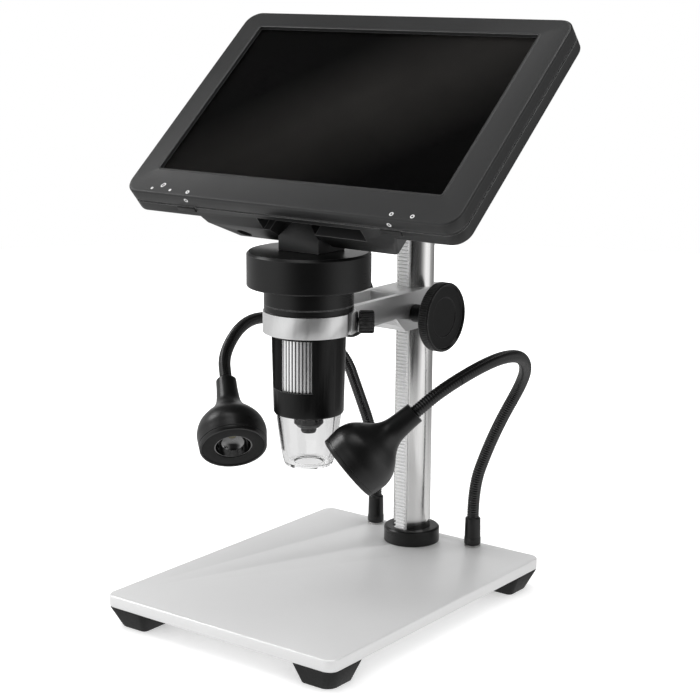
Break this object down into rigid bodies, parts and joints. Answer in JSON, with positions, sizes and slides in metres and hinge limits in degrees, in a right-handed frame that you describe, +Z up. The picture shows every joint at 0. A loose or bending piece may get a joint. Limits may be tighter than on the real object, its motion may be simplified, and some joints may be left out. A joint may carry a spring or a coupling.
{
  "type": "lcd digital microscope",
  "caption": "Digital microscope with a tilting display on a racked column stand and gooseneck lamps, for viewing small work on its stage plate.",
  "frame": {"origin": "centre of the stand's footprint at floor level, under the middle of the stage plate", "axes": "+X to the right and +Z up, seen from the operator's side; +Y runs back to the column"},
  "size_m": [0.1816, 0.1645, 0.2688],
  "materials": {
    "anodised_plate": "fine bead-blasted silver anodising, bright chamfers",
    "satin_column": "drawn satin rod",
    "rack_metal": "milled teeth",
    "brushed_bracket": "brushed, clear anodised",
    "silver_wheel": "machined ribs",
    "black_anodised": "satin black anodising",
    "black_plastic": "fine satin moulding",
    "case_plastic": "fine spark texture",
    "lamp_plastic": "semi-gloss moulding",
    "neck_cover": "ribbed satin cover",
    "foot_rubber": "matt rubber",
    "steel_fasteners": "plated steel",
    "pinion_brass": "cut teeth",
    "nylon": "natural nylon",
    "clear_plastic": "clear polished acrylic",
    "lens_glass": "coated lens",
    "display_glass": "dark, glossy cover glass",
    "display_black": "switched-off display",
    "circuit_board": "green solder mask",
    "battery_wrap": "shrink wrap",
    "reflector_chrome": "metallised bowl",
    "led_board": "white board with a domed emitter"
  },
  "bodies": {
    "base": {"stage_plate": "anodised_plate", "foot_front_left": "foot_rubber", "foot_front_right": "foot_rubber", "foot_back_left": "foot_rubber", "foot_back_right": "foot_rubber", "foot_screws": "steel_fasteners", "column_rod": "satin_column", "column_rack": "rack_metal", "column_collar": "black_anodised", "column_bolt": "steel_fasteners", "column_cap": "black_plastic", "left_arm_stud": "steel_fasteners", "right_arm_stud": "steel_fasteners", "arm_nuts": "steel_fasteners"},
    "focus_carriage": {"clamp_bracket": "brushed_bracket", "tension_pad": "nylon", "tension_screw": "steel_fasteners"},
    "focus_pinion": {"pinion_shaft": "steel_fasteners", "pinion_gear": "pinion_brass", "left_focus_knob": "black_plastic", "right_focus_knob": "black_plastic", "knob_set_screws": "steel_fasteners"},
    "clamp_screw": {"clamp_screw_head": "black_anodised", "clamp_screw_shank": "steel_fasteners", "clamp_washer": "black_anodised"},
    "microscope_head": {"tube_neck": "black_anodised", "top_cap": "black_anodised", "tube_body": "black_plastic", "sensor_board": "circuit_board", "light_ring_board": "circuit_board", "nose_cone": "clear_plastic", "hinge_block": "black_plastic"},
    "focus_wheel_body": {"focus_wheel": "silver_wheel"},
    "lens_carrier": {"lens_barrel": "black_anodised", "objective_lens": "lens_glass"},
    "screen": {"hinge_knuckle": "black_plastic", "hinge_pin": "steel_fasteners", "screen_bezel": "case_plastic", "screen_back_shell": "case_plastic", "cover_glass": "display_glass", "display_panel": "display_black", "battery_cell": "battery_wrap", "main_board": "circuit_board", "charging_socket": "steel_fasteners", "case_screws": "steel_fasteners"},
    "left_key_body": {"left_key": "case_plastic"},
    "right_key_body": {"right_key": "case_plastic"},
    "left_arm": {"left_gooseneck": "neck_cover"},
    "right_arm": {"right_gooseneck": "neck_cover"},
    "left_lamp": {"left_flex_end": "neck_cover", "left_lamp_shell": "lamp_plastic", "left_lamp_ring": "black_plastic", "left_lamp_reflector": "reflector_chrome", "left_lamp_led": "led_board"},
    "right_lamp": {"right_flex_end": "neck_cover", "right_lamp_shell": "lamp_plastic", "right_lamp_ring": "black_plastic", "right_lamp_reflector": "reflector_chrome", "right_lamp_led": "led_board"}
  },
  "joints": [
    {"name": "focus_slide", "type": "slide", "parent": "base", "child": "focus_carriage", "axis": [0, 0, 1], "range_m": [-0.04, 0.04]},
    {"name": "pinion_spin", "type": "hinge", "parent": "focus_carriage", "child": "focus_pinion", "pos_m": [0, 0.04995, 0.1325], "axis": [1, 0, 0], "range_deg": [-420, 420]},
    {"name": "clamp_screw_turn", "type": "hinge", "parent": "focus_carriage", "child": "clamp_screw", "pos_m": [0, -0.0162, 0.1373], "axis": [0.7826, 0.6225, 0], "range_deg": [0, 180]},
    {"name": "head_turn", "type": "hinge", "parent": "focus_carriage", "child": "microscope_head", "pos_m": [0, -0.0162, 0.1427], "axis": [0, 0, 1], "range_deg": [-45, 45]},
    {"name": "focus_wheel_turn", "type": "hinge", "parent": "microscope_head", "child": "focus_wheel_body", "pos_m": [0, -0.0162, 0.1175], "axis": [0, 0, 1], "range_deg": [-120, 120]},
    {"name": "lens_slide", "type": "slide", "parent": "microscope_head", "child": "lens_carrier", "axis": [0, 0, 1], "range_m": [-0.002, 0.002]},
    {"name": "screen_tilt", "type": "hinge", "parent": "microscope_head", "child": "screen", "pos_m": [0, -0.0143, 0.187], "axis": [-1, 0, 0], "range_deg": [-45, 25]},
    {"name": "left_key_press", "type": "slide", "parent": "screen", "child": "left_key_body", "axis": [0, 0.7604, 0.6494], "range_m": [0, 0.0007], "stiffness_N_per_m": 400, "springref_m": -0.001},
    {"name": "right_key_press", "type": "slide", "parent": "screen", "child": "right_key_body", "axis": [0, 0.7604, 0.6494], "range_m": [0, 0.0007], "stiffness_N_per_m": 400, "springref_m": -0.001},
    {"name": "left_arm_swing", "type": "hinge", "parent": "base", "child": "left_arm", "pos_m": [-0.0292, 0.076, 0.015], "axis": [0, 0, 1], "range_deg": [-45, 1]},
    {"name": "right_arm_swing", "type": "hinge", "parent": "base", "child": "right_arm", "pos_m": [0.0292, 0.076, 0.015], "axis": [0, 0, 1], "range_deg": [-1, 45]},
    {"name": "left_lamp_nod", "type": "hinge", "parent": "left_arm", "child": "left_lamp", "pos_m": [-0.06282, -0.00193, 0.1119], "axis": [-0.682, -0.7314, 0], "range_deg": [-20, 10], "deforming": ["left_flex_end"]},
    {"name": "right_lamp_nod", "type": "hinge", "parent": "right_arm", "child": "right_lamp", "pos_m": [0.06282, -0.00193, 0.1139], "axis": [-0.682, 0.7314, 0], "range_deg": [-20, 10], "deforming": ["right_flex_end"]}
  ],
  "couplings": [
    {"joint": "pinion_spin", "follows": "focus_slide", "rad_per_m": -181.82},
    {"joint": "lens_slide", "follows": "focus_wheel_turn", "m_per_rad": 0.00095}
  ]
}
